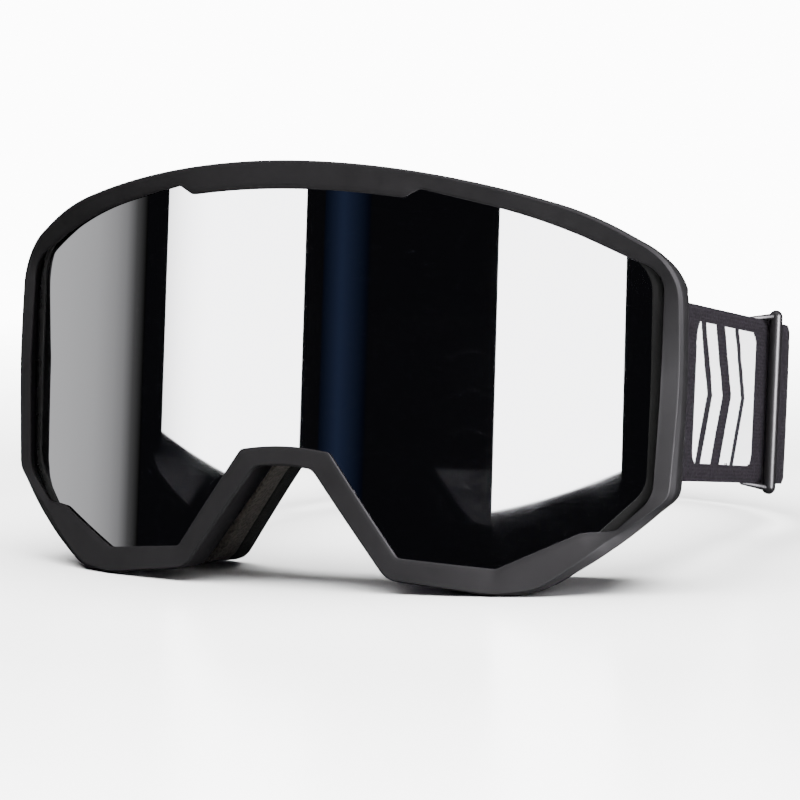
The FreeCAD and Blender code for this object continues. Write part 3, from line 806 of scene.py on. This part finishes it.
def band_path():
    """The band's middle line in plan: points, outward normals and length from the pin, for one half."""
    rows = []
    for k in range(13):
        a = math.pi * (1 - k / 12)
        x, y = strap_plan(-BAND_OFF * math.sin(a), BAND_OFF * math.cos(a))
        normal = (math.cos(INWARD) * math.cos(a) + math.sin(INWARD) * math.sin(a),
                  math.sin(INWARD) * math.cos(a) - math.cos(INWARD) * math.sin(a))
        rows.append((x, y, *normal, -BAND_OFF * a))
    for s in np.arange(1.5, STRAP_STRAIGHT, 1.5):
        rows.append((*strap_plan(s, BAND_OFF), math.cos(INWARD), math.sin(INWARD), s))
    centre, radius = back_circle(BAND_OFF)
    turn = math.pi / 2 - INWARD
    count = math.ceil(radius * turn / 1.8)
    for k in range(count + 1):
        a = INWARD + turn * k / count
        rows.append((radius * math.cos(a), centre + radius * math.sin(a), math.cos(a), math.sin(a),
                     STRAP_STRAIGHT + radius * turn * k / count))
    return np.array(rows)


SELVAGE = 1.6  # width of a strap's thin edge
EDGE_THICKNESS = 0.35  # the edge's share of the full thickness


def webbing_section(width, thick):
    """Points round a strap's cross-section as (across, out): soft edges and a slightly thin selvage."""
    outer = []
    for t in np.linspace(-0.5, 0.5, 27):
        across = t * width
        edge = min(1.0, (width / 2 - abs(across)) / SELVAGE)
        swell = math.sqrt(max(0.0, 1 - (1 - edge) ** 2))
        outer.append((across, thick / 2 * (EDGE_THICKNESS + (1 - EDGE_THICKNESS) * swell)))
    return np.array(outer + [(across, -out) for across, out in outer[::-1]])


def webbing(name, path, width, thick, side, body, material, replaced, wave=0.0, both=False):
    """A flat strap along a plan path, with its length and width in a UV map and its outer side marked."""
    section = webbing_section(width, thick)
    rows = np.vstack((path, path[-2::-1] * (-1, 1, -1, 1, 1))) if both else path
    rings, uvs = [], []
    for x, y, nx, ny, s in rows:
        lift = wave * (math.sin(s * 0.115 + 0.6) + 0.6 * math.sin(s * 0.27)) * np.clip(s / 20, 0, 1)
        away = max(SLIDER_AT - TRAVEL - s, s - SLIDER_AT, 0)  # it is flat wherever the slider goes
        lift = lift * np.clip(away / 14 - 0.6, 0, 1) * np.cos(section[:, 0] / width * 2.2)
        off = section[:, 1] + lift
        rings.append(np.column_stack((x + nx * off, y + ny * off, section[:, 0])))
        uvs.append(np.column_stack((np.full(len(section), s), section[:, 0])) / 100)
    verts = hung(np.vstack(rings), side)
    piece = make_piece(name, verts, skin(rings, False), body, material, replaced, sharp=60)
    layer = piece.data.uv_layers.new(name="strap")
    spots = np.vstack(uvs)
    for loop in piece.data.loops:
        layer.data[loop.index].uv = spots[loop.vertex_index]
    outer_side = piece.data.attributes.new("outer_side", "FLOAT", "POINT")
    outer_side.data.foreach_set("value", np.tile((section[:, 1] > 0).astype(np.float32), len(rings)))
    return piece


def smooth_path(points, step=0.6):
    """A Catmull-Rom curve through (s, off) points, as rows of plan position, normal and length."""
    p = np.array([points[0]] + points + [points[-1]], float)
    curve = []
    for a, b, c, d in zip(p, p[1:], p[2:], p[3:]):
        count = max(1, math.ceil(np.linalg.norm(c - b) / step))
        for t in np.arange(count) / count:
            curve.append(0.5 * ((2 * b) + (c - a) * t + (2 * a - 5 * b + 4 * c - d) * t * t
                                + (3 * b - a - 3 * c + d) * t ** 3))
    curve = np.array(curve + [p[-1]])
    ahead = np.gradient(curve, axis=0)
    ahead /= np.linalg.norm(ahead, axis=1)[:, None]
    x, y = strap_plan(curve[:, 0], curve[:, 1])
    s_dir, off_dir = -ahead[:, 1], ahead[:, 0]
    nx = -math.sin(INWARD) * s_dir + math.cos(INWARD) * off_dir
    ny = math.cos(INWARD) * s_dir + math.sin(INWARD) * off_dir
    along = np.concatenate(([0], np.cumsum(np.linalg.norm(np.diff(curve, axis=0), axis=1))))
    return np.column_stack((x, y, nx, ny, along + points[0][0]))


TAIL_JOIN = 76.0  # where the tail's free run meets its sewn end
# the sewn end, as (along, off) points: it turns back on itself round the slider's front bar
TAIL_END = [(TAIL_JOIN, -2.25), (79.5, -2.0), (82.3, -1.1), (84.6, 0.35), (86.4, 0.75), (87.6, 0.15),
            (87.85, -0.7), (87.5, -1.6), (86.4, -2.15), (84.4, -2.6), (82.0, -3.2), (79.5, -3.45),
            (77.0, -3.5)]
FRONT_BAR = (SLIDER_AT - SLIDER_HALF, -0.7, 0.85)  # along, off and radius of the bar that holds the tail

webbing("elastic_band", band_path(), STRAP_WIDTH, STRAP_THICKNESS, 1, "goggles", strap_knit, ["strap_band"],
        wave=WAVE, both=True)


def capsule_points(start, end, radius, around=16, rise=5):
    """Points over a rod with domed ends, in the strap's own (along, off, z) coordinates."""
    start, end = np.array(start, float), np.array(end, float)
    axis = end - start
    axis /= np.linalg.norm(axis)
    side = np.cross(axis, (0.3, 1, 0.2))
    side /= np.linalg.norm(side)
    other = np.cross(axis, side)
    rings = []
    for centre, way in ((start, -1), (end, 1)):
        tilts = [math.pi / 2 * k / rise for k in range(rise)]
        for tilt in (tilts[::-1] if way < 0 else tilts):
            middle, wide = centre + axis * way * radius * math.sin(tilt), radius * math.cos(tilt)
            rings.append(np.array([middle + wide * (side * math.cos(a) + other * math.sin(a))
                                   for a in np.arange(around) * 2 * math.pi / around]))
    return rings


def slider_mesh():
    """Rods and end plates of the slider, overlapping, in (along, off, z) coordinates."""
    middle_off = BAND_OFF + STRAP_THICKNESS / 2 + CLEAR + BAR_RADIUS
    rear_off = BAND_OFF - STRAP_THICKNESS / 2 - CLEAR - SIDE_BAR_RADIUS
    bar_half = SLIDER_HEIGHT / 2 - BAR_RADIUS
    plate_z = STRAP_WIDTH / 2 + 0.75
    rods = [(SLIDER_AT, middle_off, bar_half, BAR_RADIUS),
            (FRONT_BAR[0], FRONT_BAR[1], STRAP_WIDTH / 2 - 0.5, FRONT_BAR[2]),
            (SLIDER_AT + SLIDER_HALF, rear_off, STRAP_WIDTH / 2 - 0.8, SIDE_BAR_RADIUS)]
    verts, faces = join(capsule_points((s, off, -end), (s, off, end), radius, 28, 8)
                        for s, off, end, radius in rods)
    # an end plate is a hull round small balls: along, off, radius and distance inside its height
    balls = [(FRONT_BAR[0], FRONT_BAR[1], 0.4, 0.75), (SLIDER_AT + SLIDER_HALF, rear_off, 0.4, 0.75),
             (SLIDER_AT - 0.8, middle_off - 0.3, 0.7, -0.3), (SLIDER_AT + 0.8, middle_off - 0.3, 0.7, -0.3),
             (SLIDER_AT, BAND_OFF, 0.4, 0.2)]
    for end in (-1, 1):
        cloud = bmesh.new()
        for s, off, radius, lower in balls:
            z = end * (plate_z - lower)
            for ring in capsule_points((s, off, z - 0.15), (s, off, z + 0.15), radius, 14, 4):
                for point in ring:
                    cloud.verts.new(point)
        hull = bmesh.ops.convex_hull(cloud, input=cloud.verts)
        extra = {g for g in hull["geom_interior"] + hull["geom_unused"]
                 if isinstance(g, bmesh.types.BMVert)}
        bmesh.ops.delete(cloud, geom=list(extra), context="VERTS")
        cloud.verts.index_update()
        base = len(verts)
        verts += [tuple(v.co) for v in cloud.verts]
        faces += [tuple(base + v.index for v in f.verts) for f in cloud.faces]
        cloud.free()
    return verts, faces


def make_slider(label, side):
    """The moulded slider."""
    verts, faces = slider_mesh()
    make_piece("slider_" + label + "_ladder", along_strap(verts, side), faces, "slider_" + label,
               slider_plastic, ["strap_slider_" + label], sharp=50)


def make_stitches(label, side):
    """Two rows of bar tacks through the tail's sewn end."""
    runs = []
    for row, s in enumerate((78.4, 81.0)):
        inner = np.interp(s, (77.0, 79.5, 82.0), (-3.5, -3.45, -3.2)) - 0.5
        lean = 0.35 * (-1) ** row
        runs += [capsule_points((s - 0.75, inner, z - lean), (s + 0.75, inner, z + lean), 0.26, 8, 3)
                 for z in np.arange(-18.6, 18.7, 1.55)]
    verts, faces = join(runs)
    make_piece("tail_stitches_" + label, along_strap(verts, side), faces, "slider_" + label,
               thread, ["tail_seam_" + label])


for label, side in SIDES:
    run = smooth_path([(s, -BAND_OFF) for s in (0.0, 0.5, TAIL_JOIN / 2, TAIL_JOIN)], 2.0)
    tail = webbing("tail_run_" + label, run, STRAP_WIDTH - 1, STRAP_THICKNESS, side, "goggles", plain_knit,
                   ["strap_tail_" + label])
    anchor = along_strap([(0, 0, 0)], side)[0]
    tuple(strap_direction(side))
    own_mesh(tail)
    webbing("tail_end_" + label, smooth_path(TAIL_END), STRAP_WIDTH - 1, 1.1, side, "slider_" + label,
            plain_knit, ())
    make_slider(label, side)
    make_stitches(label, side)


GRIP_REACH = 46.0  # half length of a grip line
GRIP_WAVE = (1.4, 16)  # its height and length


def make_grip():
    """Wavy silicone beads on the inner side of the back curve."""
    centre, radius = back_circle(BAND_OFF - STRAP_THICKNESS / 2 + 0.05)
    reach = math.asin(GRIP_REACH / radius)
    bead = [(1.1 * math.cos(a), -0.5 * abs(math.sin(a))) for a in np.linspace(0, math.pi, 9)]
    bead += [(-0.6, 0.12), (0.6, 0.12)]
    runs = []
    for line in range(GRIP_COUNT):
        height = (line - (GRIP_COUNT - 1) / 2) * GRIP_PITCH
        rings = []
        for a in np.linspace(-reach, reach, 81):
            wave = GRIP_WAVE[0] * math.sin(a * radius * 2 * math.pi / GRIP_WAVE[1])
            rings.append([((radius + o) * math.sin(a), centre + (radius + o) * math.cos(a),
                           height + wave + w) for w, o in bead])
        runs.append(rings)
    verts, faces = join(runs)
    make_piece("grip_beads", hung(verts), faces, "goggles", grip_silicone,
               ["strap_grip_lines"], sharp=60)


make_grip()

# CAD parts that keep their own shape
for node, material in (("inner_frame", inner_plastic), ("strap_anchor_left", inner_plastic),
                       ("strap_anchor_right", inner_plastic), ("strap_pin_left", pin_steel),
                       ("strap_pin_right", pin_steel)):
    frame["nodes"][node].data.materials.clear()
    frame["nodes"][node].data.materials.append(material)

# ---- camera
def put(name, data):
    """A new object in the scene."""
    thing = bpy.data.objects.new(name, data)
    bpy.context.scene.collection.objects.link(thing)
    return thing


camera = put("camera", bpy.data.cameras.new("camera"))
camera.data.lens = 171.0
camera.data.sensor_width = 36.0
camera.data.clip_start, camera.data.clip_end = 0.05, 50
camera.location = (0.3915, -0.8956, 0.1192)
camera.rotation_euler = (math.radians(90 - 4.90), 0, math.radians(24.72))
bpy.context.scene.camera = camera


# ---- studio
def emitter(name, strength, shades=None):
    """A plain white light, or one shaded by the mesh's own colours."""
    material = bpy.data.materials.new(name)
    material.use_nodes = True
    tree = material.node_tree
    tree.nodes.clear()
    emission = tree.nodes.new("ShaderNodeEmission")
    emission.inputs["Strength"].default_value = strength
    if shades:
        shade = tree.nodes.new("ShaderNodeVertexColor")
        shade.layer_name = shades
        tree.links.new(shade.outputs["Color"], emission.inputs["Color"])
    output = tree.nodes.new("ShaderNodeOutputMaterial")
    tree.links.new(emission.outputs[0], output.inputs["Surface"])
    return material


def stage_mesh(name, verts, faces, material):
    mesh = bpy.data.meshes.new(name)
    mesh.from_pydata(verts, [], faces)
    mesh.materials.append(material)
    thing = put(name, mesh)
    return thing


def softbox(name, stops, bottom, top, strength, tint=(1, 1, 1), distance=1.5):
    """A tall curved panel round the goggles: stops are (azimuth in degrees, brightness)."""
    angles = np.radians(np.arange(stops[0][0], stops[-1][0] + 0.01, (stops[-1][0] - stops[0][0]) / 16))
    light = np.interp(np.degrees(angles), [a for a, _ in stops], [b for _, b in stops])
    columns = [(distance * math.sin(a), -distance * math.cos(a)) for a in angles]
    verts = [(x, y, z) for x, y in columns for z in (bottom, top)]
    faces = [(2 * i, 2 * i + 2, 2 * i + 3, 2 * i + 1) for i in range(len(columns) - 1)]
    panel = stage_mesh(name, verts, faces, emitter(name, strength, "shade"))
    shade = panel.data.color_attributes.new("shade", "FLOAT_COLOR", "POINT")
    for i, value in enumerate(np.repeat(light, 2)):
        shade.data[i].color = (*(value * c for c in tint), 1)
    panel.visible_camera = panel.visible_diffuse = False


softbox("panel_left", [(-112, 0.95), (-88, 0.85), (-78, 0.75), (-72, 0.58), (-68, 0.4), (-64.5, 0.1),
                       (-61.5, 0.0)], -0.3, 0.9, 0.66)
softbox("panel_middle", [(-55.5, 0.5), (-50, 0.8), (-44, 1.0), (-21.2, 1.0)], 0.045, 0.9, 6.5)
softbox("panel_right", [(19.8, 1.0), (46, 1.0)], 0.045, 0.9, 6.5)
softbox("panel_navy", [(-17, 0.2), (-13, 1.0), (-7, 0.1)], 0.05, 0.9, 0.05, tint=(0.3, 0.45, 1.0))
softbox("panel_side", [(62, 1.0), (80, 1.0), (90, 0.2)], -0.1, 0.9, 200, tint=(0.97, 0.94, 1.0))


def make_floor():
    """A pale glossy disc that fades out into the backdrop."""
    paint = Paint("floor", Specular_IOR_Level=0.15)
    paint.set("Base Color", paint.mix(paint.noise(3), grey(0.88), grey(0.9)))
    paint.set("Roughness", paint.ramp(paint.noise(8), 0.3, 0.7, 0.2, 0.24))
    far = paint.add("ShaderNodeVectorMath", {0: paint.place}, operation="LENGTH").outputs["Value"]
    clear = paint.add("ShaderNodeBsdfTransparent")
    fade = paint.add("ShaderNodeMixShader", {0: paint.ramp(far, 0.22, 0.9)})
    paint.feed(fade.inputs[1], paint.shader.outputs[0])
    paint.feed(fade.inputs[2], clear.outputs[0])
    output = next(n for n in paint.tree.nodes if n.type == "OUTPUT_MATERIAL")
    paint.feed(output.inputs["Surface"], fade.outputs[0])
    ring = [(math.cos(a), math.sin(a), 0.0) for a in np.arange(64) * math.pi / 32]
    floor = stage_mesh("floor", ring, [tuple(range(64))], paint.material)
    floor.visible_glossy = False


def make_backdrop():
    """A plain pale room all round, which isn't mirrored in the goggles."""
    ball = bmesh.new()
    bmesh.ops.create_uvsphere(ball, u_segments=48, v_segments=24, radius=6.0)
    data = bpy.data.meshes.new("backdrop")
    ball.to_mesh(data)
    ball.free()
    data.materials.append(emitter("backdrop", 12.0))
    dome = put("backdrop", data)
    dome.visible_glossy = dome.visible_diffuse = dome.visible_shadow = dome.visible_transmission = False


def area_light(name, location, target, size, power, glossy=True):
    data = bpy.data.lights.new(name, "AREA")
    data.shape = "RECTANGLE"
    data.size, data.size_y = size
    data.energy = power
    light = put(name, data)
    light.location = location
    light.rotation_euler = (Vector(target) - Vector(location)).to_track_quat("-Z", "Y").to_euler()
    light.visible_camera = False
    light.visible_glossy = glossy


make_floor()
make_backdrop()
area_light("top_light", (0, -0.1, 1.6), (0, 0, 0), (2.4, 2.4), 330, glossy=False)
area_light("sheen_light", (0.3, -0.1, 1.2), (0, 0, 0), (1.0, 1.0), 8)
area_light("side_light", (1.3, -0.75, 0.5), (0, -0.1, 0.05), (0.5, 0.9), 8, glossy=False)
world = bpy.data.worlds.new("studio")
world.use_nodes = True
world.node_tree.nodes["Background"].inputs["Color"].default_value = (0.004, 0.004, 0.005, 1)
bpy.context.scene.world = world
